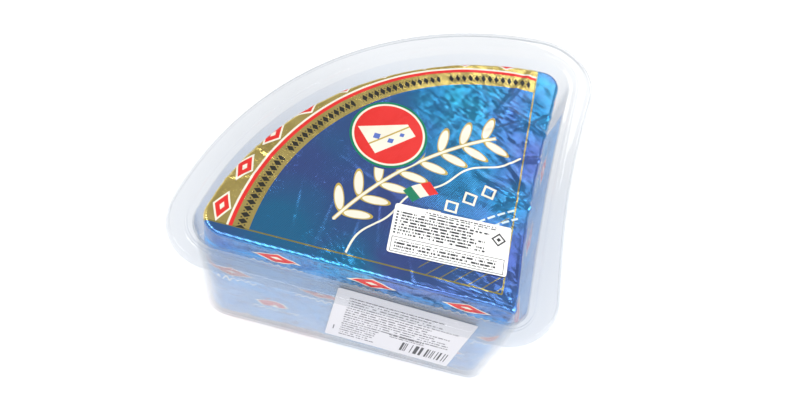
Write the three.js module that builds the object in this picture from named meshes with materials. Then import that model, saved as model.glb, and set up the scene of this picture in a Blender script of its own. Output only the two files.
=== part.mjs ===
// Foil-wrapped wedge of gorgonzola, an eighth of a wheel, in its open clear tub.
//
// Millimetres, +Z up. The tub stands on z = 0, and x = 0, y = 0 is the middle of its rim's box.
// Every outline is first drawn from the wedge's corner, where the two straight sides meet:
// the front side runs towards -X, the right side towards +Y, and the wheel's round side joins
// their far ends.

import * as THREE from 'three';

// Tub, clear polypropylene
const RIM_HEIGHT = 88;
const WALL = 0.9;
const WALL_DRAFT = 0.8;
const FLOOR_RADIUS = 3.6;
const FOOT_RECESS = 0.8;
const FOOT_WIDTH = 2.4;
const LEDGE_WIDTH = 3.4;
const LEDGE_DEPTH = 1.4;
const RIM_BEAD = 0.35;
const SKIRT_DEPTH = 4;
const SKIRT_FLARE = 1.4;
const MOULDED_EDGE = 0.8;

// The two edges of the tub's rim, from the wedge's corner. front is the front side's y and right
// the right side's x at the corner, turn is how many degrees the right side leans out, bow how
// far it curves in, and the round side has its own centre and radius. The last three are the
// corners' radii.
const MOUTH = { front: -11.1, right: 17.7, turn: 2.2, bow: 1.5, x: 14, y: -10.6, radius: 157.4,
  apex: 13, far: 17.5, left: 17 };
const RIM = { front: -17.1, right: 27.4, turn: 1.9, bow: 3.5, x: 16, y: -11, radius: 167.7,
  apex: 25, far: 27.5, left: 24 };
const FRONT_TURN = 0.5;

// Clearance between pieces that touch
const GAP = 0.3;

// Foil-wrapped cheese
const BLOCK_TOP = 97;
const BLOCK = { front: -7.2, right: 7.6, turn: 2.3, bow: 2, x: 11.3, y: -19.4, radius: 147.6,
  sag: 0.8, apex: 3, far: 8.6, left: 11.3 };
const APEX_SLUMP = 6;
const TOP_EDGE_ROUND = 2.4;
const BOTTOM_EDGE_ROUND = 5;
const RIGHT_BULGE = 4.4;
const ROUND_BULGE = 2.2;
const BULGE_DEPTH = 40;
const FOIL_DENT = 0.7;
const PLEAT_DEPTH = 0.5;
const PLEAT_TURNS = 34;

// Paper stickers
const STICKER = 0.3;
const TOP_STICKER = { width: 53.5, height: 24.5, x: -26.7, y: 19.3, turn: 2.2 };
const SIDE_STICKER = { width: 65, height: 64, x: -38.2, z: 46, turn: -2.5 };

// Steps along the outline and across the block's top
const STEPS = { side: 8, corner: 6, arc: 30 };
const BLOCK_STEPS = { side: 20, corner: 6, arc: 34 };
const WALL_LEVELS = [8, 20, 36, 52, 66, 76, 84, 90];
const TOP_RINGS = [0.985, 0.94, 0.86, 0.74, 0.6, 0.44, 0.28, 0.12];
const TOP_MIDDLE = new THREE.Vector2(-46, 44);

const radians = THREE.MathUtils.degToRad;

// A straight side as a point on it, its direction and the normal that points into the tub.
function straight(x, y, angle) {
  const direction = new THREE.Vector2(Math.cos(angle), Math.sin(angle));
  return { point: new THREE.Vector2(x, y), direction, inward: new THREE.Vector2(direction.y, -direction.x) };
}

function movedIn(line, distance) {
  return { ...line, point: line.point.clone().addScaledVector(line.inward, distance) };
}

function crossLines(a, b) {
  const gap = b.point.clone().sub(a.point);
  const along = gap.cross(b.direction) / a.direction.cross(b.direction);
  return a.point.clone().addScaledVector(a.direction, along);
}

// Where a line leaves a circle, going the way the line points.
function crossCircle(line, centre, radius) {
  const toLine = line.point.clone().sub(centre);
  const along = toLine.dot(line.direction);
  const reach = Math.sqrt(along * along - toLine.lengthSq() + radius * radius);
  return line.point.clone().addScaledVector(line.direction, reach - along);
}

function footOn(line, point) {
  const along = point.clone().sub(line.point).dot(line.direction);
  return line.point.clone().addScaledVector(line.direction, along);
}

// Sector outline, clockwise from the front side's right end: front, left corner, round side,
// far corner, right side, corner of the wedge. Each point notes which stretch it is on and how
// far along.
function sector(shape, steps) {
  const front = straight(0, shape.front, Math.PI - radians(FRONT_TURN));
  const right = straight(shape.right, 0, Math.PI / 2 - radians(shape.turn));
  right.inward.negate();
  const { apex, far, left, radius } = shape;
  const centre = new THREE.Vector2(shape.x, shape.y);

  const leftCentre = crossCircle(movedIn(front, left), centre, radius - left);
  const farCentre = crossCircle(movedIn(right, far), centre, radius - far);
  const apexCentre = crossLines(movedIn(front, apex), movedIn(right, apex));

  const points = [];
  const add = (stretch, t, point) => points.push({ stretch, t, point });

  const run = (stretch, line, from, to, bow = 0) => {
    for (let i = 0; i < steps.side; i++) {
      const t = i / steps.side;
      const point = from.clone().lerp(to, t).addScaledVector(line.inward, bow * Math.sin(Math.PI * t));
      add(stretch, t, point);
    }
  };
  const turn = (stretch, middle, arcRadius, from, to, count, sag = 0) => {
    const start = from.clone().sub(middle).angle();
    let sweep = start - to.clone().sub(middle).angle();
    if (sweep < 0) sweep += 2 * Math.PI;
    for (let i = 0; i < count; i++) {
      const t = i / count;
      const angle = start - sweep * t;
      const reach = arcRadius - sag * Math.sin(Math.PI * t) ** 2;
      add(stretch, t, new THREE.Vector2(Math.cos(angle), Math.sin(angle)).multiplyScalar(reach).add(middle));
    }
  };
  const onArc = (cornerCentre) =>
    cornerCentre.clone().sub(centre).setLength(radius).add(centre);

  const frontStart = footOn(front, apexCentre);
  const frontEnd = footOn(front, leftCentre);
  const rightStart = footOn(right, farCentre);
  const rightEnd = footOn(right, apexCentre);
  run('front', front, frontStart, frontEnd);
  turn('left', leftCentre, left, frontEnd, onArc(leftCentre), steps.corner);
  turn('round', centre, radius, onArc(leftCentre), onArc(farCentre), steps.arc, shape.sag);
  turn('far', farCentre, far, onArc(farCentre), rightStart, steps.corner);
  run('right', right, rightStart, rightEnd, shape.bow);
  turn('apex', apexCentre, apex, rightEnd, frontStart, steps.corner);
  return points;
}

// Closed solid through a list of rings of equal length, clockwise from above, first ring capped
// downwards and last ring upwards where the rings climb the outside.
function loft(rings) {
  const count = rings[0].length;
  const positions = rings.flat().flatMap((p) => [p.x, p.y, p.z]);
  const index = [];
  for (let r = 0; r + 1 < rings.length; r++) {
    for (let i = 0; i < count; i++) {
      const a = r * count + i;
      const b = r * count + ((i + 1) % count);
      index.push(a, a + count, b, b, a + count, b + count);
    }
  }
  const cap = (ring, base, flip) => {
    const flat = ring.map((p) => new THREE.Vector2(p.x, p.y));
    for (const [a, b, c] of THREE.ShapeUtils.triangulateShape(flat, [])) {
      if (flip) index.push(base + a, base + c, base + b);
      else index.push(base + a, base + b, base + c);
    }
  };
  cap(rings[0], 0, true);
  cap(rings[rings.length - 1], (rings.length - 1) * count, false);

  const geometry = new THREE.BufferGeometry();
  geometry.setAttribute('position', new THREE.Float32BufferAttribute(positions, 3));
  geometry.setIndex(index);
  geometry.computeVertexNormals();
  return geometry;
}

// A shape moved outwards by a distance.
function grown(shape, out) {
  const { front, right, radius, apex, far, left } = shape;
  return { ...shape, front: front - out, right: right + out, radius: radius + out,
    apex: apex + out, far: far + out, left: left + out };
}

function tub() {
  const ledgeInner = -LEDGE_WIDTH;
  const ledgeTop = RIM_HEIGHT - LEDGE_DEPTH;
  const ledgeUnder = ledgeTop - WALL;
  const footInner = ledgeInner - WALL_DRAFT;
  const footOuter = footInner + WALL;
  const wallOuter = ledgeInner + WALL;
  const rimUnder = RIM_HEIGHT - WALL;
  const beadTop = RIM_HEIGHT - RIM_BEAD;
  const skirtBottom = RIM_HEIGHT - SKIRT_DEPTH;
  const floorTop = FOOT_RECESS + WALL;
  const innerRadius = FLOOR_RADIUS - WALL;
  const bend = (degrees) => 1 - Math.cos(radians(degrees));

  // Section from the middle of the underside, up the outside, over the rim and down the inside:
  // which edge of the rim it is measured from, how far out from it, and the height.
  const section = [
    [MOUTH, footOuter - FLOOR_RADIUS - FOOT_WIDTH - FOOT_RECESS, FOOT_RECESS],
    [MOUTH, footOuter - FLOOR_RADIUS - FOOT_WIDTH, 0],
    [MOUTH, footOuter - FLOOR_RADIUS, 0],
    [MOUTH, footOuter - FLOOR_RADIUS * bend(90 - 30), FLOOR_RADIUS * bend(30)],
    [MOUTH, footOuter - FLOOR_RADIUS * bend(90 - 60), FLOOR_RADIUS * bend(60)],
    [MOUTH, footOuter, FLOOR_RADIUS],
    [MOUTH, wallOuter, ledgeUnder - MOULDED_EDGE],
    [MOUTH, wallOuter + MOULDED_EDGE, ledgeUnder],
    [MOUTH, WALL - MOULDED_EDGE, ledgeUnder],
    [MOUTH, WALL, ledgeUnder + MOULDED_EDGE],
    [MOUTH, WALL + MOULDED_EDGE / 2, rimUnder],
    [RIM, -WALL - MOULDED_EDGE, rimUnder],
    [RIM, -WALL, rimUnder - MOULDED_EDGE],
    [RIM, SKIRT_FLARE - WALL, skirtBottom],
    [RIM, SKIRT_FLARE, skirtBottom],
    [RIM, SKIRT_FLARE / 4, RIM_HEIGHT - 1.8 * MOULDED_EDGE],
    [RIM, -MOULDED_EDGE / 3, RIM_HEIGHT - MOULDED_EDGE / 3],
    [RIM, -1.5 * MOULDED_EDGE, RIM_HEIGHT],
    [RIM, -3 * MOULDED_EDGE, beadTop],
    [MOUTH, 2 * MOULDED_EDGE, beadTop],
    [MOUTH, MOULDED_EDGE, RIM_HEIGHT],
    [MOUTH, 0, RIM_HEIGHT - MOULDED_EDGE],
    [MOUTH, -MOULDED_EDGE, ledgeTop],
    [MOUTH, ledgeInner + MOULDED_EDGE, ledgeTop],
    [MOUTH, ledgeInner, ledgeTop - MOULDED_EDGE],
    [MOUTH, footInner, floorTop + innerRadius],
    [MOUTH, footInner - innerRadius * bend(45), floorTop + innerRadius * bend(45)],
    [MOUTH, footInner - innerRadius, floorTop],
  ];
  return loft(section.map(([edge, out, z]) =>
    sector(grown(edge, out), STEPS).map(({ point }) => new THREE.Vector3(point.x, point.y, z))));
}

// How far in the tub's inner wall stands at a height, compared with the ledge.
function draftAt(z) {
  const wallTop = RIM_HEIGHT - LEDGE_DEPTH;
  return WALL_DRAFT * THREE.MathUtils.clamp((wallTop - z) / wallTop, 0, 1);
}

// The wedge at a height, before its edges are rounded. The soft cheese spreads below its cut top
// edge, most of all against the right wall, and its front leans on the tub's front wall.
function blockOutline(z, out) {
  const depth = Math.min(1, Math.max(0, (BLOCK_TOP - z) / BULGE_DEPTH));
  const bulge = Math.sin(depth * Math.PI / 2);
  return sector(grown({
    ...BLOCK,
    front: BLOCK.front + draftAt(z),
    right: BLOCK.right + RIGHT_BULGE * bulge,
    radius: BLOCK.radius + ROUND_BULGE * bulge,
    apex: BLOCK.apex + APEX_SLUMP * bulge ** 2,
  }, out), BLOCK_STEPS);
}

// Low waves of the foil over the soft cheese, none under the sticker. A few broad folds fan out
// of the wedge's corner, and the round side's edge is gathered.
function foilRelief(x, y) {
  const away = Math.hypot(x - 6, y + 6);
  const angle = Math.atan2(y + 6, 6 - x);
  const fan = Math.sin(angle * 11) * Math.exp(-(((away - 16) / 14) ** 2));
  const waves = Math.sin(x * 0.085 + 0.6) * Math.sin(y * 0.11 + x * 0.04);
  const gathers = Math.sin(angle * 29) * THREE.MathUtils.smoothstep(away, 112, 132);
  const aside = Math.hypot(
    Math.max(0, Math.abs(x - TOP_STICKER.x) - TOP_STICKER.width / 2) / 10,
    Math.max(0, Math.abs(y - TOP_STICKER.y) - TOP_STICKER.height / 2) / 10,
  );
  return FOIL_DENT * (0.4 * fan + 0.45 * waves + 0.3 * gathers - 0.5) * Math.min(1, Math.max(0, aside - 0.3));
}

// Pleats of the wrap down the right and round sides.
function sidePleat({ stretch, t }, z) {
  if (stretch !== 'right' && stretch !== 'round') return 0;
  const low = THREE.MathUtils.smoothstep(BLOCK_TOP - z, 4, 30);
  return low * PLEAT_DEPTH * Math.sin(Math.PI * t) * Math.sin(t * PLEAT_TURNS + z * 0.05);
}

function foilWedge() {
  const bottom = FOOT_RECESS + WALL + GAP;
  const bottomLevels = [[0, 1], [0.14, 0.5], [0.45, 0.17]].map(([rise, inset]) =>
    [bottom + rise * BOTTOM_EDGE_ROUND, inset * BOTTOM_EDGE_ROUND]);
  const topLevels = [0, 30, 60].map((turned) => [
    BLOCK_TOP - TOP_EDGE_ROUND * (1 - Math.sin(radians(turned))),
    TOP_EDGE_ROUND * (1 - Math.cos(radians(turned))),
  ]);
  const levels = [...bottomLevels, ...WALL_LEVELS.map((z) => [z, 0]), ...topLevels];

  const rings = levels.map(([z, inset]) => {
    const outline = blockOutline(z, 0);
    const inner = blockOutline(z, -1);
    return outline.map((step, i) => {
      const outward = step.point.clone().sub(inner[i].point).normalize();
      const point = step.point.clone().addScaledVector(outward, sidePleat(step, z) - inset);
      return new THREE.Vector3(point.x, point.y, z);
    });
  });

  const shoulder = rings[rings.length - 1];
  for (const share of TOP_RINGS) {
    rings.push(shoulder.map((edge) => {
      const x = THREE.MathUtils.lerp(TOP_MIDDLE.x, edge.x, share);
      const y = THREE.MathUtils.lerp(TOP_MIDDLE.y, edge.y, share);
      return new THREE.Vector3(x, y, BLOCK_TOP + foilRelief(x, y));
    }));
  }
  return loft(rings);
}

// A sticker as a thin plate with rounded corners, lying in X and Y.
function sticker({ width, height }) {
  const r = 1.2;
  const w = width / 2;
  const h = height / 2;
  const shape = new THREE.Shape();
  shape.moveTo(-w + r, -h);
  shape.lineTo(w - r, -h);
  shape.absarc(w - r, -h + r, r, -Math.PI / 2, 0);
  shape.absarc(w - r, h - r, r, 0, Math.PI / 2);
  shape.absarc(-w + r, h - r, r, Math.PI / 2, Math.PI);
  shape.absarc(-w + r, -h + r, r, Math.PI, 1.5 * Math.PI);
  return new THREE.ExtrudeGeometry(shape, { depth: STICKER, bevelEnabled: false, curveSegments: 3 });
}

function part(name, geometry, finish) {
  const mesh = new THREE.Mesh(geometry, new THREE.MeshStandardMaterial(finish));
  mesh.name = name;
  return mesh;
}

const tubMesh = part('tub', tub(), { color: 0xe9eef4, roughness: 0.25, transparent: true, opacity: 0.4 });
const block = part('foil_wedge', foilWedge(), { color: 0x1560ae, roughness: 0.3, metalness: 0.8 });

const topSticker = part('top_sticker', sticker(TOP_STICKER), { color: 0xf8f8f8, roughness: 0.6 });
topSticker.position.set(TOP_STICKER.x, TOP_STICKER.y, BLOCK_TOP + GAP);
topSticker.rotation.z = radians(TOP_STICKER.turn);

// The side sticker stands on the outside of the front wall, which is turned and drafted.
const sideSticker = part('side_sticker', sticker(SIDE_STICKER).rotateZ(radians(SIDE_STICKER.turn)),
  { color: 0xe9e6ec, roughness: 0.6 });
const lean = Math.atan(WALL_DRAFT / (RIM_HEIGHT - LEDGE_DEPTH));
sideSticker.rotation.set(Math.PI / 2 + lean, 0, -radians(FRONT_TURN), 'ZYX');
const wallFace = MOUTH.front + LEDGE_WIDTH - WALL + draftAt(SIDE_STICKER.z)
  - SIDE_STICKER.x * Math.tan(radians(FRONT_TURN));
sideSticker.position.set(SIDE_STICKER.x, wallFace - GAP, SIDE_STICKER.z);

const wedge = new THREE.Group();
wedge.add(tubMesh, block, topSticker, sideSticker);
const rim = new THREE.Box3().setFromObject(tubMesh).getCenter(new THREE.Vector3());
wedge.position.set(-rim.x, -rim.y, 0);

const group = new THREE.Group();
group.add(wedge);

export default group;
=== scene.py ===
import functools
import math

import bmesh
import bpy
import numpy as np
from mathutils import Matrix, Vector, noise


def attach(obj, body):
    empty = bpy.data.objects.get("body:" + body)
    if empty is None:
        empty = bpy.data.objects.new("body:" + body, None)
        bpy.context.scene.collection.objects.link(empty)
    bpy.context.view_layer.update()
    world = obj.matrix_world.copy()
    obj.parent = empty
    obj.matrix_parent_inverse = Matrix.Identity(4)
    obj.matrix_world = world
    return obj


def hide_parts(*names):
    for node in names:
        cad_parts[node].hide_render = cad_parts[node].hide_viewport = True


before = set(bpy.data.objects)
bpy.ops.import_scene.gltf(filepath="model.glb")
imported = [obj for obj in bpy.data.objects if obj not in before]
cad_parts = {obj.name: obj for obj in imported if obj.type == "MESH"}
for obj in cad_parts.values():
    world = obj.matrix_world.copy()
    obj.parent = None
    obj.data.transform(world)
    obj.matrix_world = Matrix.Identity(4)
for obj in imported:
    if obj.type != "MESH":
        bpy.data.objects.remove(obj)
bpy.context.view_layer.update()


# Camera. It looks steeply down on the wedge from the front, a little rolled, as a catalogue
# photograph does. Sizes here and below are millimetres, and MM turns them into Blender's metres.
MM = 0.001
CAMERA_PLACE = Vector((1.1, -215.9, 408.5))
CAMERA_ELEVATION = math.radians(60.09)
CAMERA_AZIMUTH = math.radians(-91.89)
CAMERA_ROLL = math.radians(-16.05)
CAMERA_LENS = 35.93

ahead = -Vector((
    math.cos(CAMERA_ELEVATION) * math.cos(CAMERA_AZIMUTH),
    math.cos(CAMERA_ELEVATION) * math.sin(CAMERA_AZIMUTH),
    math.sin(CAMERA_ELEVATION),
))
level = ahead.cross(Vector((0, 0, 1))).normalized()
below = ahead.cross(level)
across = level * math.cos(CAMERA_ROLL) + below * math.sin(CAMERA_ROLL)
upright = level * math.sin(CAMERA_ROLL) - below * math.cos(CAMERA_ROLL)
camera = bpy.data.objects.new("camera", bpy.data.cameras.new("camera"))
bpy.context.scene.collection.objects.link(camera)
camera.data.lens = CAMERA_LENS
camera.data.clip_start = 0.01
camera.matrix_world = Matrix.Translation(CAMERA_PLACE * MM) @ Matrix(
    (across, upright, -ahead)).transposed().to_4x4()
bpy.context.scene.camera = camera


# Tub. An open tub of clear polypropylene, injection moulded in one piece about 0.9 mm thick: a
# quarter-round box with a foot ring, slightly drafted walls, a shallow ledge, and a broad flat
# rim with a short skirt, wider at the corners and on the round side.
RIM_HEIGHT = 88
WALL = 0.9
WALL_DRAFT = 0.8
FLOOR_RADIUS = 3.6
FOOT_RECESS = 0.8
FOOT_WIDTH = 2.4
LEDGE_WIDTH = 3.4
LEDGE_DEPTH = 1.4
RIM_BEAD = 0.35
SKIRT_DEPTH = 4
SKIRT_FLARE = 1.4
MOUTH = {"front": -11.1, "right": 17.7, "turn": 2.2, "bow": 1.5, "x": 14, "y": -10.6, "radius": 157.4,
         "sag": 0, "apex": 13, "far": 17.5, "left": 17}
RIM = {"front": -17.1, "right": 27.4, "turn": 1.9, "bow": 3.5, "x": 16, "y": -11, "radius": 167.7,
       "sag": 0, "apex": 25, "far": 27.5, "left": 24}
FRONT_TURN = 0.5
TUB_STEPS = {"side": 36, "corner": 12, "arc": 120}


def sector(shape, steps):
    """The quarter-round outline, clockwise from the right end of the front side. Gives points and
    outward normals in mm from the wedge's corner."""
    front, right, radius = shape["front"], shape["right"], shape["radius"]
    apex, far, left = shape["apex"], shape["far"], shape["left"]
    lean = math.radians(shape["turn"])
    front_way = np.array([-math.cos(math.radians(FRONT_TURN)), math.sin(math.radians(FRONT_TURN))])
    front_in = np.array([front_way[1], -front_way[0]])
    right_way = np.array([math.sin(lean), math.cos(lean)])
    right_in = np.array([-right_way[1], right_way[0]])
    front_point, right_point = np.array([0.0, front]), np.array([right, 0.0])
    centre = np.array([shape["x"], shape["y"]])

    def on_circle(point, way, reach):
        gap = point - centre
        along = gap @ way
        return point + way * (math.sqrt(along ** 2 - gap @ gap + reach ** 2) - along)

    left_middle = on_circle(front_point + front_in * left, front_way, radius - left)
    far_middle = on_circle(right_point + right_in * far, right_way, radius - far)
    apex_lines = np.array([front_way, -right_way]).T
    gap = (right_point + right_in * apex) - (front_point + front_in * apex)
    apex_middle = front_point + front_in * apex + front_way * np.linalg.solve(apex_lines, gap)[0]

    def foot(point, way, middle):
        return point + way * ((middle - point) @ way)

    def outermost(middle):
        way = middle - centre
        return centre + way * radius / np.linalg.norm(way)

    points, normals = [], []

    def run(start, end, inward, depth=0.0):
        share = np.arange(steps["side"]) / steps["side"]
        bow = depth * np.sin(np.pi * share)
        points.append(start + (end - start) * share[:, None] + inward * bow[:, None])
        normals.append(np.tile(-inward, (len(share), 1)))

    def turn(middle, reach, start, end, count, dip=0.0):
        share = np.arange(count) / count
        first = math.atan2(*(start - middle)[::-1])
        sweep = (first - math.atan2(*(end - middle)[::-1])) % (2 * math.pi)
        angle = first - sweep * share
        outward = np.stack([np.cos(angle), np.sin(angle)], axis=1)
        points.append(middle + outward * (reach - dip * np.sin(np.pi * share) ** 2)[:, None])
        normals.append(outward)

    front_start = foot(front_point, front_way, apex_middle)
    front_end = foot(front_point, front_way, left_middle)
    right_start = foot(right_point, right_way, far_middle)
    right_end = foot(right_point, right_way, apex_middle)
    run(front_start, front_end, front_in)
    turn(left_middle, left, front_end, outermost(left_middle), steps["corner"])
    turn(centre, radius, outermost(left_middle), outermost(far_middle), steps["arc"], shape["sag"])
    turn(far_middle, far, outermost(far_middle), right_start, steps["corner"])
    run(right_start, right_end, right_in, shape["bow"])
    turn(apex_middle, apex, right_end, front_start, steps["corner"])
    return np.concatenate(points), np.concatenate(normals)


def grown(shape, out):
    """The same outline moved outwards by a distance."""
    ways = {"front": -1, "right": 1, "radius": 1, "apex": 1, "far": 1, "left": 1}
    return {name: value + out * ways.get(name, 0) for name, value in shape.items()}


def rounded(path, across, steps=5):
    """Rounds each inner point of a path. A point is (share of the way from mouth to rim, out,
    height, radius), and across is how far apart mouth and rim are."""
    points = [np.array(p[:3], float) for p in path]
    curve = [points[0]]
    for before, point, after, radius in zip(points, points[1:], points[2:], [p[3] for p in path[1:]]):
        near_ends = []
        for other in (before, after):
            step = other - point
            near_ends.append(point + step * radius / math.hypot(step[0] * across + step[1], step[2]))
        for t in np.linspace(0, 1, steps + 1):
            curve.append(near_ends[0] * (1 - t) ** 2 + point * 2 * t * (1 - t) + near_ends[1] * t ** 2)
    return curve + [points[-1]]


def skin(name, rings, material):
    """A closed mesh through rings of equal length that climb the outside, with both ends capped."""
    rings = np.asarray(rings)
    levels, around, _ = rings.shape
    index = np.arange(levels * around).reshape(levels, around)
    ahead_of = np.roll(index, -1, axis=1)
    quads = np.stack([index[:-1], index[1:], ahead_of[1:], ahead_of[:-1]], axis=-1).reshape(-1, 4)
    faces = quads.tolist() + [index[0].tolist(), index[-1][::-1].tolist()]
    mesh = bpy.data.meshes.new(name)
    mesh.from_pydata((rings.reshape(-1, 3) * MM).tolist(), [], faces)
    mesh.polygons.foreach_set("use_smooth", [True] * len(mesh.polygons))
    mesh.materials.append(material)
    piece = bpy.data.objects.new(name, mesh)
    bpy.context.scene.collection.objects.link(piece)
    return piece


def colour(hex_code):
    """An sRGB hex colour as the linear colour that a shader takes."""
    parts = [int(hex_code[i:i + 2], 16) / 255 for i in (1, 3, 5)]
    return [p / 12.92 if p <= 0.04045 else ((p + 0.055) / 1.055) ** 2.4 for p in parts] + [1.0]


class Field:
    """A value that varies over a surface. Python's own signs on it add Math nodes."""

    def __init__(self, socket):
        self.socket = socket


def node(tree, kind, inputs=(), output=0, **settings):
    """Adds a shader node and gives one of its outputs. inputs holds values, or fields to link."""
    made = tree.nodes.new("ShaderNode" + kind)
    for name, value in settings.items():
        setattr(made, name, value)
    for slot, value in inputs.items() if isinstance(inputs, dict) else enumerate(inputs):
        if isinstance(value, Field):
            tree.links.new(value.socket, made.inputs[slot])
        else:
            made.inputs[slot].default_value = value
    return Field(made.outputs[output]) if made.outputs else None


SIGNS = {
    "__add__": "ADD", "__sub__": "SUBTRACT", "__mul__": "MULTIPLY", "__truediv__": "DIVIDE",
    "__mod__": "FLOORED_MODULO", "__lt__": "LESS_THAN", "__gt__": "GREATER_THAN", "__and__": "MINIMUM",
    "__or__": "MAXIMUM", "__abs__": "ABSOLUTE",
}
for sign, operation in SIGNS.items():
    setattr(Field, sign, lambda self, *other, operation=operation: node(
        self.socket.id_data, "Math", [self, *other], operation=operation))


def new_material(name):
    material = bpy.data.materials.new(name)
    material.use_nodes = True
    material.node_tree.nodes.clear()
    return material, material.node_tree


# Clear polypropylene, moulded. The wall is too thin to bend light much, so its faces let light
# straight through, with a milky haze that grows edge on, a gloss and faint flow waves.
HAZE, HAZE_FALL_OFF = 0.03, 5.0
PLASTIC_IOR, GLOSS_IOR, PLASTIC_ROUGHNESS = 1.49, 1.4, 0.05
FLOW_WAVE, FLOW_DEPTH = 35, 2.5
clear_plastic, tree = new_material("moulded_clear_polypropylene")
place = node(tree, "TexCoord", output="Object")
flow = node(tree, "TexNoise", {"Vector": place, "Scale": 1 / (FLOW_WAVE * MM), "Detail": 1.0})
flow_bump = node(tree, "Bump", {"Height": flow, "Strength": 0.3, "Distance": FLOW_DEPTH * MM})
edge_on = node(tree, "LayerWeight", {"Blend": 0.5, "Normal": flow_bump}, output="Facing")
edge_haze = node(tree, "Math", [edge_on, HAZE_FALL_OFF], operation="POWER")
outside = node(tree, "NewGeometry", output="Backfacing") * -1.0 + 1.0
shine = node(tree, "Fresnel", {"IOR": GLOSS_IOR, "Normal": flow_bump}) * outside
clear = node(tree, "BsdfTransparent", {"Color": colour("#F4F5F6")})
milky = node(tree, "BsdfPrincipled", {
    "Base Color": colour("#A6AEBB"), "Roughness": PLASTIC_ROUGHNESS, "IOR": PLASTIC_IOR,
    "Normal": flow_bump})
gloss = node(tree, "BsdfAnisotropic", {
    "Color": colour("#FFFFFF"), "Roughness": PLASTIC_ROUGHNESS, "Normal": flow_bump})
wall = node(tree, "MixShader", [edge_haze + HAZE, clear, milky])
node(tree, "OutputMaterial", {"Surface": node(tree, "MixShader", [shine, wall, gloss])})

ledge_top = RIM_HEIGHT - LEDGE_DEPTH
foot_inner = -LEDGE_WIDTH - WALL_DRAFT
foot_outer = foot_inner + WALL
wall_outer = -LEDGE_WIDTH + WALL
rim_under = RIM_HEIGHT - WALL
skirt_bottom = RIM_HEIGHT - SKIRT_DEPTH
floor_top = FOOT_RECESS + WALL
foot_ring = foot_outer - FLOOR_RADIUS - FOOT_WIDTH
floor_edge = foot_ring - 3
section = rounded([
    (0, floor_edge, FOOT_RECESS, 0),
    (0, foot_ring - 0.8, FOOT_RECESS, 0.4),
    (0, foot_ring, 0, 0.4),
    (0, foot_outer, 0, FLOOR_RADIUS),
    (0, wall_outer, ledge_top - WALL, 0.7),
    (0, 0.3, ledge_top - WALL, 0.5),
    (0, 1, rim_under, 0.4),
    (1, -WALL, rim_under, 0.8),
    (1, SKIRT_FLARE - WALL, skirt_bottom, 0.3),
    (1, SKIRT_FLARE, skirt_bottom, 0.3),
    (1, 0, RIM_HEIGHT, 0.9),
    (1, -1.6, RIM_HEIGHT, 0.5),
    (1, -2.6, RIM_HEIGHT - RIM_BEAD, 0.5),
    (0, 2, RIM_HEIGHT - RIM_BEAD, 0.5),
    (0, 1.1, RIM_HEIGHT, 0.4),
    (0, 0, RIM_HEIGHT, 0.6),
    (0, -0.6, ledge_top, 0.45),
    (0, -LEDGE_WIDTH, ledge_top, 0.5),
    (0, foot_inner, floor_top, FLOOR_RADIUS - WALL),
    (0, floor_edge, floor_top, 0),
], MOUTH["front"] - RIM["front"])
tub_rings = []
for share, out, height in section:
    inner, outer = sector(grown(MOUTH, out), TUB_STEPS)[0], sector(grown(RIM, out), TUB_STEPS)[0]
    tub_rings.append(np.column_stack([inner + (outer - inner) * share, np.full(len(inner), height)]))
tub_rings = np.array(tub_rings)

# The wedge's corner, from the middle of the rim's box, where x = 0 and y = 0.
rim_points = tub_rings.reshape(-1, 3)
CORNER = np.array([*(-(rim_points.min(axis=0) + rim_points.max(axis=0))[:2] / 2), 0.0])
tub = skin("clear_tub", tub_rings + CORNER, clear_plastic)
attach(tub, "root")
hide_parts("tub")


# Foil-wrapped cheese. Soft cheese in embossed aluminium foil under 0.1 mm thick, printed with blue
# lacquer, a gold band and opaque inks, and folded round the cheese so that its edges are creased.
BLOCK_TOP = 97
BLOCK_GAP = 0.3
BLOCK = {"front": -7.2, "right": 7.6, "turn": 2.3, "bow": 2, "x": 11.3, "y": -19.4, "radius": 147.6,
         "sag": 0.8, "apex": 3, "far": 8.6, "left": 11.3}
APEX_SLUMP = 6
TOP_EDGE_ROUND = 2.4
BOTTOM_EDGE_ROUND = 5
RIGHT_BULGE = 4.4
ROUND_BULGE = 2.2
BULGE_DEPTH = 40
BLOCK_STEPS = {"side": 105, "corner": 8, "arc": 170, "bottom_edge": 7, "height": 80, "top_edge": 9,
               "top": 110}
TOP_MIDDLE = np.array([-46.0, 44.0])


def block_outline(z, inset):
    """Outline of the wedge at a height. The soft cheese spreads below its cut top edge."""
    bulge = math.sin(min(1, max(0, (BLOCK_TOP - z) / BULGE_DEPTH)) * math.pi / 2)
    spread = {
        "front": WALL_DRAFT * min(1, max(0, (ledge_top - z) / ledge_top)), "right": RIGHT_BULGE * bulge,
        "radius": ROUND_BULGE * bulge, "apex": APEX_SLUMP * bulge ** 2}
    points, normals = sector({name: BLOCK[name] + spread.get(name, 0) for name in BLOCK}, BLOCK_STEPS)
    return points - normals * inset, normals


# Levels of the wedge from the bottom up, each (height, inset, how far the foil faces up).
block_bottom = floor_top + BLOCK_GAP
levels = []
for turned in np.linspace(0, math.pi / 2, BLOCK_STEPS["bottom_edge"])[::-1]:
    levels.append((block_bottom + BOTTOM_EDGE_ROUND * (1 - math.sin(turned)),
                   BOTTOM_EDGE_ROUND * (1 - math.cos(turned)), -math.sin(turned)))
for z in np.linspace(
        block_bottom + BOTTOM_EDGE_ROUND, BLOCK_TOP - TOP_EDGE_ROUND, BLOCK_STEPS["height"])[1:-1]:
    levels.append((z, 0.0, 0.0))
for turned in np.linspace(0, math.pi / 2, BLOCK_STEPS["top_edge"]):
    levels.append((BLOCK_TOP - TOP_EDGE_ROUND * (1 - math.sin(turned)),
                   TOP_EDGE_ROUND * (1 - math.cos(turned)), math.sin(turned)))

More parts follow.
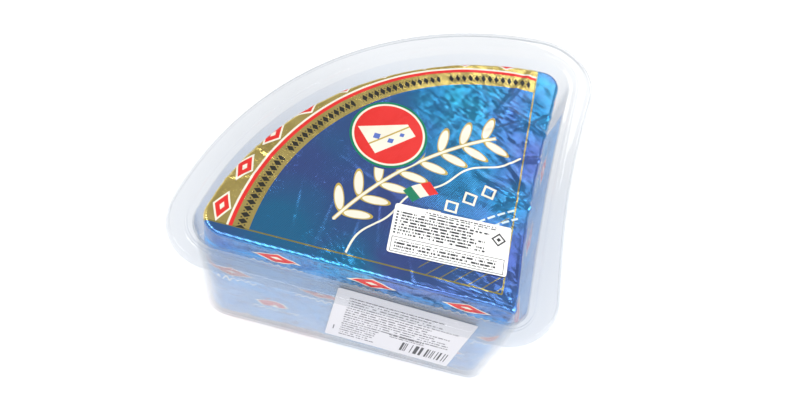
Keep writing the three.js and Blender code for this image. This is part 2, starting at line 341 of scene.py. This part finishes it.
# places are points of the smooth wedge, and ways point out of it. The top's rings shrink to its middle.
places, ways = [], []
for z, inset, up in levels:
    points, normals = block_outline(z, inset)
    places.append(np.column_stack([points, np.full(len(points), z)]))
    ways.append(np.column_stack([normals * math.sqrt(max(0.0, 1 - up * up)), np.full(len(points), up)]))
shoulder = places[-1]
for share in np.linspace(1, 0.02, BLOCK_STEPS["top"])[1:]:
    points = TOP_MIDDLE + (shoulder[:, :2] - TOP_MIDDLE) * share
    places.append(np.column_stack([points, np.full(len(points), BLOCK_TOP)]))
    ways.append(np.tile([0.0, 0.0, 1.0], (len(points), 1)))
places, ways = np.array(places), np.array(ways)


def folds(x, y, lines):
    """Sharp creases along straight lines, each (x0, y0, x1, y1, half width, height)."""
    height = np.zeros_like(x)
    for x0, y0, x1, y1, width, rise in lines:
        length = math.hypot(x1 - x0, y1 - y0)
        along = ((x - x0) * (x1 - x0) + (y - y0) * (y1 - y0)) / length
        aside = np.abs((x - x0) * (y1 - y0) - (y - y0) * (x1 - x0)) / length
        taper = np.clip(along / 6 + 1, 0, 1) * np.clip((length - along) / (0.5 * length), 0, 1)
        height += rise * taper * np.clip(1 - aside / width, 0, None)
    return height


def crumple(places, waves):
    """Creased foil: noise folded over at its middle, so that it has sharp valleys and round backs.
    Each wave is (height, width, seed)."""
    height = 0
    for rise, width, seed in waves:
        shift = Vector((seed * 7.3, seed * 3.1, seed * 5.7))
        values = np.array([noise.noise(Vector(p) + shift) for p in places.reshape(-1, 3) / width])
        height = height + rise * np.abs(values).reshape(places.shape[:2])
    return height


def patch(x, y, middle_x, middle_y, reach):
    """A soft round field: 1 at its middle."""
    return np.exp(-((x - middle_x) ** 2 + (y - middle_y) ** 2) / reach ** 2)


# Creases on the top and down the front, and where on the top the foil is crumpled, each patch
# (x, y, reach, strength). The sinks lower the foil, so that only sharp creases stand proud.
TOP_FOLDS = [
    (6, -6, -34, -1, 2.0, 1.2), (6, -6, -26, 4, 1.7, 1.0), (4, -5, -48, -6, 1.8, 0.8),
    (6, -4, -4, 26, 2.0, 1.0), (7, -2, 5, 34, 1.8, 1.1), (2, 4, -16, 8, 1.6, 0.8),
    (-71, -8, -68, 22, 1.5, 0.5), (-66, -8, -74, 12, 1.3, 0.35), (-38, -8, -47, 14, 1.6, 0.45),
    (9, 46, -22, 58, 1.8, 1.2), (8, 52, -12, 40, 1.6, 1.0), (10, 88, -24, 104, 1.9, 1.3),
    (10, 100, -8, 84, 1.7, 1.1), (-4, 122, -18, 92, 1.9, 1.0), (9, 74, -4, 70, 1.7, 1.1),
    (-16, 84, 2, 96, 1.6, 0.8), (0, 60, -14, 74, 1.5, 0.7), (-130, 22, -112, 30, 1.8, 0.6),
    (-126, 44, -108, 36, 1.8, 0.5), (-96, 8, -98, 36, 1.3, 0.3), (-84, 4, -80, 40, 1.2, 0.3),
    (-58, 6, -62, 34, 1.3, 0.35), (-46, 30, -90, 50, 1.4, 0.25),
]
FRONT_FOLDS = [
    (-138, 56, -88, 38, 1.6, 2.2), (-86, 34, -128, 24, 1.6, 2.0), (-72, 64, -112, 62, 1.5, 1.8),
    (-86, 40, -66, 16, 1.5, 2.0), (-10, 70, 4, 34, 1.8, 2.0), (-122, 18, -92, 8, 1.8, 2.0),
]
FRONT_LIMIT = -3
CALM = 0.4
TOP_PATCHES = [(-10, 98, 34, 1.0), (-2, 45, 22, 0.5), (-122, 38, 20, 0.7), (0, 0, 26, 0.5)]
TOP_WAVES = [(0.35, 16, 1), (0.3, 7, 2)]
SIDE_WAVES = [(1.2, 24, 3), (0.9, 9, 4)]
LONG_WAVES = [(0.25, 45, 5)]
TOP_SINK, WAVE_SINK, SIDE_SINK = 0.4, 0.2, 1.2
EDGE_BAND = 4
DEEPEST, PROUDEST = -2.5, 0.5
x, y, z = places[..., 0], places[..., 1], places[..., 2]
on_top = np.clip((z - (BLOCK_TOP - EDGE_BAND)) / EDGE_BAND, 0, 1)
restless = sum((strength * patch(x, y, *spot) for *spot, strength in TOP_PATCHES), CALM)
relief = on_top * (folds(x, y, TOP_FOLDS) - TOP_SINK)
relief += on_top * restless * (crumple(places, TOP_WAVES) - WAVE_SINK)
relief += (1 - on_top) * (crumple(places, SIDE_WAVES) - SIDE_SINK)
relief += crumple(places, LONG_WAVES) + (1 - on_top) * (y < FRONT_LIMIT) * folds(x, z, FRONT_FOLDS)

# The foil lies nearly flat under the sticker on its top, and a little way round it.
TOP_STICKER = {"width": 53.5, "height": 24.5, "x": -26.7, "y": 19.3, "turn": 2.2}
FLAT_MARGIN, FLAT_REACH, FLAT_RELIEF = 1, 8, 0.06
aside = np.hypot(
    np.clip(np.abs(x - TOP_STICKER["x"]) - TOP_STICKER["width"] / 2 - FLAT_MARGIN, 0, None),
    np.clip(np.abs(y - TOP_STICKER["y"]) - TOP_STICKER["height"] / 2 - FLAT_MARGIN, 0, None))
relief *= np.where(on_top > 0.9, np.clip(aside / FLAT_REACH, FLAT_RELIEF, 1), 1)
foil_rings = places + ways * np.clip(relief, DEEPEST, PROUDEST)[..., None]

# Printed foil: bright metal under a blue lacquer, woven embossing, gold lacquer and opaque inks.
# Lengths in the print are millimetres, measured on the flat top from the wedge's corner.
INDIGO, AZURE, HIGHLIGHT_CYAN, SIDE_REFLECTION_BLUE, GROOVE_SHADE_BLUE = "#5871BE", "#3892CA", "#3CC2EA", "#54B6FF", "#1C3A78"
GOLD, GOLD_SHADE, GOLD_LINE, MARK_BLACK = "#EBD480", "#BFA752", "#B4AB66", "#2B2A22"
RED, CREAM, GREEN, PALE_BLUE = "#E0302C", "#F2ECDA", "#0E7B58", "#D4E6F6"
printed_foil, tree = new_material("printed_aluminium_foil")
spot = node(tree, "VectorMath", {
    0: node(tree, "TexCoord", output="Object"), 1: (1 / MM, 1 / MM, 1 / MM),
    2: tuple(-CORNER)}, operation="MULTIPLY_ADD")
x_mm, y_mm, z_mm = [node(tree, "SeparateXYZ", [spot], output=axis) for axis in "XYZ"]


def from_point(x, y):
    """Distance on the flat top from a point."""
    flat = node(tree, "CombineXYZ", [x_mm - x, y_mm - y])
    return node(tree, "VectorMath", [flat], operation="LENGTH", output="Value")


def round_line(centre, radius):
    """Distance along an arc of a circle, anticlockwise from straight up to the left, and out of it."""
    angle = node(tree, "Math", [y_mm - centre[1], x_mm - centre[0]], operation="ARCTAN2")
    return angle * radius - math.radians(135) * radius, from_point(*centre) - radius


def repeat(value, pitch):
    """Cuts a distance into equal pitches, each measured from its middle."""
    return value % pitch - pitch / 2


def near(value, middle, half):
    return abs(value - middle) < half


def lozenge(u, v, half_u, half_v):
    """A diamond: its value is 1 on its outline and less inside."""
    return abs(u) / half_u + abs(v) / half_v


def leaf(u, v, length, width):
    """A leaf from the stem outwards: its value is 1 on its outline and less inside."""
    along, across = (v - length / 2 - 1) / (length / 2), u / (width / 2)
    return along * along + across * across


def printed(under, layers):
    """Prints colours one over the other, each where its mask is 1."""
    for mask, shade in layers:
        shade = colour(shade) if isinstance(shade, str) else shade
        under = node(tree, "Mix", {0: mask, 6: under, 7: shade}, data_type="RGBA", output=2)
    return under


# The print of the top ends on the rounded edge, and only the gold band hangs a little lower.
TOP_PRINT_END, BAND_END = BLOCK_TOP - 2.2, BLOCK_TOP - 7
top_face = z_mm > TOP_PRINT_END
side_face = z_mm < TOP_PRINT_END
in_frame = (x_mm < 0) & (y_mm > 0)

# Blue lacquer, violet blue with azure and cyan in broad soft fields that are painted reflection and
# painted highlights, and a deeper blue painted as shade in the grooves of the weave.
# The weave is drawn about one and a half times as coarse as the real one.
# Painted reflection: the azure fields and the broad noise lighten the violet blue where bright
# surroundings would shine in the foil, and the cyan fields are painted highlights.
AZURE_REFLECTION_FIELDS = ((-100, 8, 26), (-29, 60, 34), (-36, 98, 34), (8, 104, 24), (-2, 46, 18), (-70, -6, 18))
CYAN_HIGHLIGHT_FIELDS = ((-34, 98, 28), (6, 118, 12), (-60, -8, 12))
BROAD_FIELD, FINE_FIELD = 40, 14
WEAVE_PITCH, WEAVE_LEAN = (1.3, 1.0), 0.5
# Painted shade: a deeper blue mixed in where the weave's grooves lie lowest.
GROOVE_LEVEL, GROOVE_SHADE_STRENGTH = 0.25, 0.3


def fields(list_of_fields):
    """Soft round fields, each (x, y, reach): 1 at the middle of one and 0 outside all."""
    shares = [node(tree, "MapRange", {0: from_point(px, py), 1: spread, 2: spread * 0.2})
              for px, py, spread in list_of_fields]
    return functools.reduce(Field.__or__, shares)


broad = node(tree, "MapRange", {0: node(tree, "TexNoise", {
    "Vector": spot, "Scale": 1 / BROAD_FIELD, "Detail": 2.0}), 1: 0.4, 2: 0.62})
fine = node(tree, "MapRange", {0: node(tree, "TexNoise", {
    "Vector": spot, "Scale": 1 / FINE_FIELD, "Detail": 3.0}), 1: 0.35, 2: 0.7})
weave_u, weave_v = [
    node(tree, "Math", [leaning * (2 * math.pi / pitch)], operation="SINE") for leaning, pitch in zip(
        (x_mm + y_mm * WEAVE_LEAN, y_mm - x_mm * WEAVE_LEAN), WEAVE_PITCH)]
weave = weave_u * weave_v
# Painted reflection and painted highlights over the violet blue, then painted shade in the weave's
# grooves.
print_colour = printed(colour(INDIGO), [
    ((fields(AZURE_REFLECTION_FIELDS) + broad * 0.45) & 1.0, AZURE), (fields(CYAN_HIGHLIGHT_FIELDS) * fine, HIGHLIGHT_CYAN),
    ((weave > GROOVE_LEVEL) * GROOVE_SHADE_STRENGTH, GROOVE_SHADE_BLUE)])

# Gold band round the outer edge, with rows of small dark marks inside its red line, and badges
# outside it. Each line is an arc, given by its radius.
PRINT_CENTRE = (1.3, -1.3)
GOLD_START, MARK_LINE, RED_LINE, CREAM_LINE, BADGE_LINE = 113.6, 117.4, 121.8, 123.1, 128.4
BADGE_START = 123.6
MARK_PITCH, MARKS_IN_ROW, MARK_GAP = 3.3, 14, 4.2
BADGE_PITCH, BADGE_SHIFT = 21.8, 6.7
gold = printed(colour(GOLD), [(fine * 0.6, GOLD_SHADE)])
reach = from_point(*PRINT_CENTRE)
on_band = in_frame & (z_mm > BAND_END)
mark_along, mark_out = round_line(PRINT_CENTRE, MARK_LINE)
diamonds = lozenge(repeat(mark_along, MARK_PITCH), mark_out, 1.35, 2.2) < 1
dots = lozenge(repeat(mark_along - MARK_PITCH / 2, MARK_PITCH), abs(mark_out) - 1.3, 0.45, 0.45) < 1
in_row = mark_along % (MARKS_IN_ROW * MARK_PITCH) > MARK_GAP
badge_along, badge_out = round_line(PRINT_CENTRE, BADGE_LINE)
badge = lozenge(repeat(badge_along + BADGE_SHIFT, BADGE_PITCH), badge_out, 6.2, 3.3)
on_gold = (reach > BADGE_START) & on_band

# Frame lines along the two straight sides, and slanting rules in the corner between them. They end
# on a flatter arc than the band's, whose middle lies out beyond the corner.
ARC_CENTRE = (60.0, -60.0)
FRAME_END = BLOCK_TOP - 3
FRAME_HALF, RULE_HALF, RULE_PITCH, RULES_END = 0.35, 0.28, 6.2, 116
frame_lines = (near(x_mm, 0, FRAME_HALF) & (y_mm > 0) | near(y_mm, 0, FRAME_HALF) & (x_mm < 0)) & (
    z_mm > FRAME_END)
rules = near(repeat(x_mm - y_mm, RULE_PITCH), 0, RULE_HALF) & in_frame & top_face & (
    from_point(*ARC_CENTRE) < RULES_END)
layers = [
    ((reach > GOLD_START) & on_band, gold), (frame_lines | rules, GOLD_LINE),
    (near(reach, CREAM_LINE, 0.5) & in_frame & top_face, CREAM),
    (near(reach, RED_LINE, 0.85) & in_frame & top_face, RED),
    ((diamonds | dots) & in_row & in_frame & top_face, MARK_BLACK),
    ((badge < 1.28) & on_gold, CREAM), ((badge < 1) & on_gold, RED), ((badge < 0.34) & on_gold, CREAM)]

# Medallion of three rings, with a cut cheese and its holes, each (right, up, half sizes).
MEDAL, MEDAL_RADIUS, MEDAL_TURN = (-65.0, 66.0), 18.5, math.radians(-42)
MEDAL_RINGS = ((0, GREEN), (1.2, CREAM), (2.2, RED))
CHEESE_HALF, CHEESE_FOOT, CHEESE_SLOPE, CHEESE_TOP, CHEESE_LAYER = 11, -6.5, 0.42, 5.5, -0.6
CHEESE_HOLES = ((-5.5, 1.6, 2.2, 2.0), (-1.0, -3.6, 1.9, 1.6), (5.5, -3.2, 1.5, 1.3))
medal = from_point(*MEDAL)
right_of = (x_mm - MEDAL[0]) * math.cos(MEDAL_TURN) - (y_mm - MEDAL[1]) * math.sin(MEDAL_TURN)
above = (x_mm - MEDAL[0]) * math.sin(MEDAL_TURN) + (y_mm - MEDAL[1]) * math.cos(MEDAL_TURN)
cheese = near(right_of, 0, CHEESE_HALF) & (above > CHEESE_FOOT) & (
    above + right_of * CHEESE_SLOPE < CHEESE_TOP) & top_face
holes = functools.reduce(Field.__or__, [
    lozenge(right_of - hole[0], above - hole[1], *hole[2:]) < 1 for hole in CHEESE_HOLES])
layers += [((medal < MEDAL_RADIUS - inset) & top_face, shade) for inset, shade in MEDAL_RINGS]
layers += [
    (cheese, CREAM), (near(above, CHEESE_LAYER, 0.4) & cheese, GOLD_SHADE), (holes & cheese, INDIGO)]

# Spray of leaves, a flourish with a striped tag, a row of open lozenges and two dashed lines.
SPRAY_LINE, FLOURISH_LINE, ROW_LINE, DASH_LINE = 158.0, 144.0, 131.0, 119.0
LEAF_PITCH, LEAF_LENGTH, LEAF_WIDTH, LEAF_SLANT, LEAVES = 11.5, 9.5, 4.8, 0.7, 8
ROW_PITCH, ROW_HALF, DASH_PITCH, DASH_GAP = 10.0, 4.2, 5.2, 4.4
spray_along, spray_out = round_line(ARC_CENTRE, SPRAY_LINE)
leaf_along = spray_along + abs(spray_out) * LEAF_SLANT
leaf_value = leaf(repeat(leaf_along, LEAF_PITCH), abs(spray_out), LEAF_LENGTH, LEAF_WIDTH)
on_spray = near(leaf_along, 0, LEAVES / 2 * LEAF_PITCH) & top_face & (medal > MEDAL_RADIUS + 1)
flourish_along, flourish_out = round_line(ARC_CENTRE, FLOURISH_LINE)
wave = node(tree, "Math", [flourish_along * 0.2], operation="SINE")
flourish = flourish_out - wave * 1.4
tag = near(flourish_along, 3, 6.6) & near(flourish, 0, 3.6) & top_face
row_along, row_out = round_line(ARC_CENTRE, ROW_LINE)
row = lozenge(repeat(row_along, ROW_PITCH), row_out, ROW_HALF, ROW_HALF)
row = near(row, 0.82, 0.17) & near(row_along, 0, 3 * ROW_PITCH)
dash_along, dash_out = round_line(ARC_CENTRE, DASH_LINE)
dashes = (near(dash_out, 0, 0.5) | near(dash_out, -DASH_GAP, 0.5)) & near(
    repeat(dash_along, DASH_PITCH), 0, 1.9)
layers += [
    (((leaf_value < 1.5) | near(spray_out, 0, 0.95)) & on_spray, GOLD_SHADE),
    (((leaf_value < 1) | near(spray_out, 0, 0.6)) & on_spray, CREAM),
    (near(flourish, 0, 0.45) & near(flourish_along, 0, 50) & top_face, CREAM),
    (tag, CREAM), (tag & (flourish_along > 5.2), GREEN), (tag & (flourish_along < 0.8), RED),
    (row & top_face, CREAM), (dashes & near(dash_along, -8, 22) & top_face, PALE_BLUE)]

# Rows of small red lozenges with a cream wave under each run round the sides, on a paler blue that is a
# painted reflection of the bright floor.
FIRST_ROW, SIDE_ROW, SIDE_PITCH = BLOCK_TOP - 10, 28, 43
PALE_FROM, PALE_TO = BLOCK_TOP - 9, BLOCK_TOP - 15
arc_along, _ = round_line((BLOCK["x"], BLOCK["y"]), BLOCK["radius"])
side_along = node(tree, "Mix", {0: x_mm > 4, 2: arc_along, 3: y_mm})
side_along = node(tree, "Mix", {0: y_mm < -4.5, 2: side_along, 3: x_mm})
drop = z_mm * -1 + FIRST_ROW
row_number = node(tree, "Math", [drop / SIDE_ROW + 0.5], operation="FLOOR")
side_along = repeat(side_along + row_number * (SIDE_PITCH / 2) - 9, SIDE_PITCH)
side_drop = drop - row_number * SIDE_ROW
side_badge = lozenge(side_along, side_drop, 9.5, 3.7)
side_wave = node(tree, "Math", [side_along * 1.7], operation="SINE") + side_drop
layers += [
    ((side_badge < 1.2) & side_face, CREAM), ((side_badge < 1) & side_face, RED),
    ((side_badge < 0.3) & side_face, CREAM),
    (near(side_wave, 7.5, 0.5) & near(side_along, 0, 12) & side_face, CREAM)]
# Painted reflection: below the top the sides turn a paler blue, standing for the bright floor shining in
# the foil.
low_side = node(tree, "MapRange", {0: z_mm, 1: PALE_FROM, 2: PALE_TO})
print_colour = printed(print_colour, [(low_side * (fine * 0.5 + 0.5), SIDE_REFLECTION_BLUE)] + layers)

# Opaque inks hide most of the metal. The lacquers on it, the first two layers, stay bright.
INK_COVER, SIDE_COVER = 0.8, 0.6
ink_mask = functools.reduce(Field.__or__, [mask for mask, _ in layers[2:]])
metal = (ink_mask * -INK_COVER + 1.0) * (low_side * -SIDE_COVER + 1.0)

# Crumples are flat facets, each tipped its own way: broad ones everywhere, and small sharp ones
# where the foil was folded and down the sides. The depths are millimetres.
WEAVE_DEPTH, BROAD_DEPTH, SMALL_DEPTH = 0.028, 0.4, 0.6
RAGGED_EDGE = 0.8
FOIL_ROUGHNESS, COAT_SHARE, COAT_ROUGHNESS = 0.18, 0.6, 0.25
CRUMPLED_FIELDS = ((-22, 98, 44), (4, 48, 22), (-124, 36, 24), (2, 2, 26), (-76, -4, 16))
crumpled = fields(CRUMPLED_FIELDS) | low_side


def facets(length, width, turn, seed):
    """Height of long flat facets, each tipped at random. length and width are millimetres."""
    flat = node(tree, "Mapping", {
        "Vector": spot, "Location": (seed, seed, seed), "Rotation": (0, 0, turn),
        "Scale": (length, width, width)}, vector_type="TEXTURE")
    ragged = node(tree, "TexNoise", {"Vector": flat, "Scale": 0.7, "Detail": 1.0}, output="Color")
    cells = node(tree, "VectorMath", {0: ragged, 1: (RAGGED_EDGE,) * 3, 2: flat}, operation="MULTIPLY_ADD")
    middle = node(tree, "TexVoronoi", {"Vector": cells, "Scale": 1.0}, output="Position")
    tip = node(tree, "TexVoronoi", {"Vector": cells, "Scale": 1.0}, output="Color")
    tip = node(tree, "VectorMath", {0: tip, 1: (0.5, 0.5, 0.5)}, operation="SUBTRACT")
    way = node(tree, "VectorMath", {0: flat, 1: middle}, operation="SUBTRACT")
    return node(tree, "VectorMath", {0: way, 1: tip}, operation="DOT_PRODUCT", output="Value")


weave_bump = node(tree, "Bump", {"Height": weave * -1.0, "Strength": 1.0, "Distance": WEAVE_DEPTH * MM})
broad_bump = node(tree, "Bump", {"Height": facets(14, 5, 0.9, 3.0), "Strength": 1.0,
                                 "Distance": BROAD_DEPTH * MM, "Normal": weave_bump})
small_bump = node(tree, "Bump", {"Height": facets(3.4, 1.3, -0.5, 8.0) * crumpled, "Strength": 1.0,
                                 "Distance": SMALL_DEPTH * MM, "Normal": broad_bump})
foil_shader = node(tree, "BsdfPrincipled", {
    "Base Color": print_colour, "Metallic": metal, "Roughness": FOIL_ROUGHNESS, "Normal": small_bump,
    "Coat Weight": metal * COAT_SHARE, "Coat Roughness": COAT_ROUGHNESS})
node(tree, "OutputMaterial", {"Surface": foil_shader})

foil = skin("foil_wrapped_wedge", foil_rings + CORNER, printed_foil)
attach(foil, "root")
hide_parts("foil_wedge")


# Top sticker. A white paper label, die cut with small round corners, stuck flat on the foil. Its
# small print is only grey dashes, with a plain frame and a column of bullets.
STICKER_THICKNESS = 0.14
STICKER_LIFT = 0.3
STICKER_CORNER = 1.2
TOP_LABEL_BEND = 0.12
LABEL_STEPS = 24


def sticker(name, width, height, material, bend=0.0):
    """A thin label in its own X and Y, a little bent about its upright axis."""
    outline = []
    for cx, cy, first in ((1, 1, 0), (-1, 1, 90), (-1, -1, 180), (1, -1, 270)):
        for step in range(5):
            angle = math.radians(first + 22.5 * step)
            outline.append((cx * (width / 2 - STICKER_CORNER) + STICKER_CORNER * math.cos(angle),
                            cy * (height / 2 - STICKER_CORNER) + STICKER_CORNER * math.sin(angle)))
    shape = bmesh.new()
    face = shape.faces.new([shape.verts.new((px, py, 0)) for px, py in outline])
    raised = bmesh.ops.extrude_face_region(shape, geom=[face])["geom"]
    for vert in raised:
        if isinstance(vert, bmesh.types.BMVert):
            vert.co.z = STICKER_THICKNESS
    for cut in np.linspace(-width / 2, width / 2, LABEL_STEPS)[1:-1]:
        bmesh.ops.bisect_plane(shape, geom=shape.verts[:] + shape.edges[:] + shape.faces[:],
                               plane_co=(cut, 0, 0), plane_no=(1, 0, 0))
    for vert in shape.verts:
        vert.co.z += bend * math.sin(vert.co.x * 0.19 + 0.4) ** 2
        vert.co *= MM
    bmesh.ops.recalc_face_normals(shape, faces=shape.faces[:])
    mesh = bpy.data.meshes.new(name)
    shape.to_mesh(mesh)
    shape.free()
    mesh.materials.append(material)
    piece = bpy.data.objects.new(name, mesh)
    bpy.context.scene.collection.objects.link(piece)
    return piece


LETTER, LETTER_LEVEL = 0.62, 0.41


def small_print(u, v, row_pitch, row_share, ends, ragged):
    """Rows of dashes of uneven length, like printed lines seen from afar."""
    row = node(tree, "Math", [v / row_pitch], operation="FLOOR")
    grain = node(tree, "TexNoise", {"Vector": node(tree, "CombineXYZ", [u / LETTER, row * 7.7]),
                                    "Scale": 1.0, "Detail": 0.0}, noise_dimensions="2D")
    row_end = node(tree, "TexWhiteNoise", {1: row}, noise_dimensions="1D") * ragged
    inked = near(repeat(v, row_pitch), 0, row_pitch * row_share / 2) & (grain > LETTER_LEVEL)
    return inked & (u > ends[0]) & (row_end + u < ends[1])


def local_mm():
    """A label's own place across and up, in millimetres."""
    here = node(tree, "VectorMath", {0: node(tree, "TexCoord", output="Object"), 3: 1 / MM},
                operation="SCALE")
    return [node(tree, "SeparateXYZ", [here], output=axis) for axis in "XY"]


FIBRE = 0.8


def paper_shader(shade, fibre_depth):
    """Coated paper: nearly flat, with a faint fibre and a low sheen."""
    fibre = node(tree, "TexNoise", {"Vector": node(tree, "TexCoord", output="Object"),
                                    "Scale": 1 / (FIBRE * MM), "Detail": 3.0})
    fibre_bump = node(tree, "Bump", {"Height": fibre, "Strength": 0.3, "Distance": fibre_depth * MM})
    surface = node(tree, "BsdfPrincipled", {"Base Color": shade, "Roughness": 0.5, "Normal": fibre_bump})
    node(tree, "OutputMaterial", {"Surface": surface})


# The print's places and half sizes are millimetres from the label's middle.
PAPER, SMALL_PRINT_INK = "#F7F7F5", "#2A2A2E"
EMBLEM = (21.5, 5.0)
top_paper, tree = new_material("white_coated_paper")
u, v = local_mm()
heading = small_print(u, v, 1.7, 0.75, (-13, 20), 0) & near(v, 10.2, 0.8)
body_text = small_print(u, v, 1.5, 0.6, (-23.6, 17), 9) & near(v, 2.6, 6.0)
box_edge = (near(u, -0.2, 25.4) & near(v, -7.9, 3.7)) - (near(u, -0.2, 25.1) & near(v, -7.9, 3.4))
box_text = small_print(u, v, 1.6, 0.58, (-24, 23), 3) & near(v, -8.0, 2.4)
bullets = near(u, -25.0, 0.5) & near(repeat(v, 1.5), 0, 0.45) & near(v, 2.6, 6.0)
emblem_u, emblem_v = u - EMBLEM[0], v - EMBLEM[1]
emblem = near(lozenge(emblem_u, emblem_v, 3.4, 3.4), 0.85, 0.15) | (
    lozenge(emblem_u, emblem_v, 1.1, 1.1) < 1)
paper_shader(printed(colour(PAPER), [
    (heading | body_text | box_edge | box_text | bullets | emblem, SMALL_PRINT_INK)]), 0.03)

top_sticker = sticker(
    "top_label", TOP_STICKER["width"], TOP_STICKER["height"], top_paper, TOP_LABEL_BEND)
top_sticker.matrix_world = Matrix.Translation((CORNER + np.array(
    [TOP_STICKER["x"], TOP_STICKER["y"], BLOCK_TOP + STICKER_LIFT])) * MM) @ Matrix.Rotation(
    math.radians(TOP_STICKER["turn"]), 4, "Z")
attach(top_sticker, "root")
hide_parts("top_sticker")


# Side sticker. A larger, thinner paper label on the outside of the tub's front wall, with rows of
# grey dashes, a bold heading and a plain group of upright bars.
SIDE_STICKER = {"width": 65, "height": 64, "x": -38.2, "z": 46, "turn": -2.5}
SIDE_LIFT = 0.1
BAR_WIDTH = 0.45
SIDE_PAPER, SIDE_INK, BAR_INK = "#D3D2D8", "#5E5D66", "#2B2B32"
side_paper, tree = new_material("thin_label_paper")
u, v = local_mm()
lower_text = small_print(u, v, 3.1, 0.42, (-26, -4), 8) & near(v, -19, 9.5)
upper_text = small_print(u, v, 3.1, 0.42, (-26, 28), 16) & near(v, 8, 17)
bold = small_print(u, v, 3.4, 0.62, (-2, 16), 0) & near(v, -10.2, 1.7)
bar_number = node(tree, "Math", [u / BAR_WIDTH], operation="FLOOR")
bar_noise = node(tree, "TexWhiteNoise", {1: bar_number}, noise_dimensions="1D")
bars = (bar_noise > 0.45) & near(u, 18, 12) & near(v, -20.5, 6.2)
fold_line = near(u, -29.2, 0.3) & near(v, -19, 3)
paper_shader(printed(colour(SIDE_PAPER), [
    (lower_text | upper_text | fold_line, SIDE_INK), (bars | bold, BAR_INK)]), 0.04)

side_sticker = sticker("side_label", SIDE_STICKER["width"], SIDE_STICKER["height"], side_paper)
wall_face = (MOUTH["front"] + LEDGE_WIDTH - WALL + WALL_DRAFT * (1 - SIDE_STICKER["z"] / ledge_top)
             - SIDE_STICKER["x"] * math.tan(math.radians(FRONT_TURN)))
side_sticker.matrix_world = (
    Matrix.Translation((CORNER + np.array(
        [SIDE_STICKER["x"], wall_face - SIDE_LIFT, SIDE_STICKER["z"]])) * MM)
    @ Matrix.Rotation(-math.radians(FRONT_TURN), 4, "Z")
    @ Matrix.Rotation(math.pi / 2 + math.atan(WALL_DRAFT / ledge_top), 4, "X")
    @ Matrix.Rotation(math.radians(SIDE_STICKER["turn"]), 4, "Z"))
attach(side_sticker, "root")
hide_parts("side_sticker")


# Floor and light. A pale seamless sweep under a big soft dome, with softboxes at the left, behind,
# low at the right and in front, as for a catalogue picture on white.
floor_material, tree = new_material("white_paper_sweep")
paper = node(tree, "BsdfPrincipled", {"Base Color": colour("#FDFDFD"), "Roughness": 0.8})
node(tree, "OutputMaterial", {"Surface": paper})
bpy.ops.mesh.primitive_plane_add(size=8)
floor = bpy.context.object
floor.name = "floor"
floor.data.materials.append(floor_material)

# The dome is darker high at the back, so that the foil shows bright and dark fields. The dark field
# fades out between two angles from its middle.
DOME = 0.74
DARK_SHARE = 0.38
DARK_WAY = Vector((-0.16, 0.56, 0.82)).normalized()
DARK_FROM, DARK_FULL = math.radians(50), math.radians(20)
world = bpy.data.worlds.new("dome")
world.use_nodes = True
tree = world.node_tree
tree.nodes.clear()
turned = node(tree, "VectorMath", [node(tree, "TexCoord", output="Generated"), tuple(DARK_WAY)],
              operation="DOT_PRODUCT", output="Value")
dark = node(tree, "MapRange", {0: turned, 1: math.cos(DARK_FROM), 2: math.cos(DARK_FULL)},
            interpolation_type="SMOOTHSTEP")
strength = dark * (-DOME * DARK_SHARE) + DOME
dome = node(tree, "Background", {"Color": colour("#FFFFFF"), "Strength": strength})
node(tree, "OutputWorld", {"Surface": dome})
bpy.context.scene.world = world
bpy.context.scene.view_settings.view_transform = "Standard"


def softbox(name, place, size, power):
    """A square softbox that faces the wedge. place and size are metres."""
    light = bpy.data.lights.new(name, "AREA")
    light.size = size
    light.energy = power
    lamp = bpy.data.objects.new(name, light)
    lamp.location = place
    lamp.rotation_euler = (Vector((0, 0, 0.05)) - Vector(place)).to_track_quat("-Z", "Y").to_euler()
    bpy.context.scene.collection.objects.link(lamp)


softbox("softbox_left", (-0.9, -0.3, 1.1), 0.5, 6)
softbox("softbox_back", (0.45, 0.95, 1.05), 0.4, 2.2)
softbox("softbox_right", (1.1, -0.2, 0.5), 0.5, 6)
softbox("softbox_front", (-0.1, -0.8, 1.15), 0.7, 6.6)
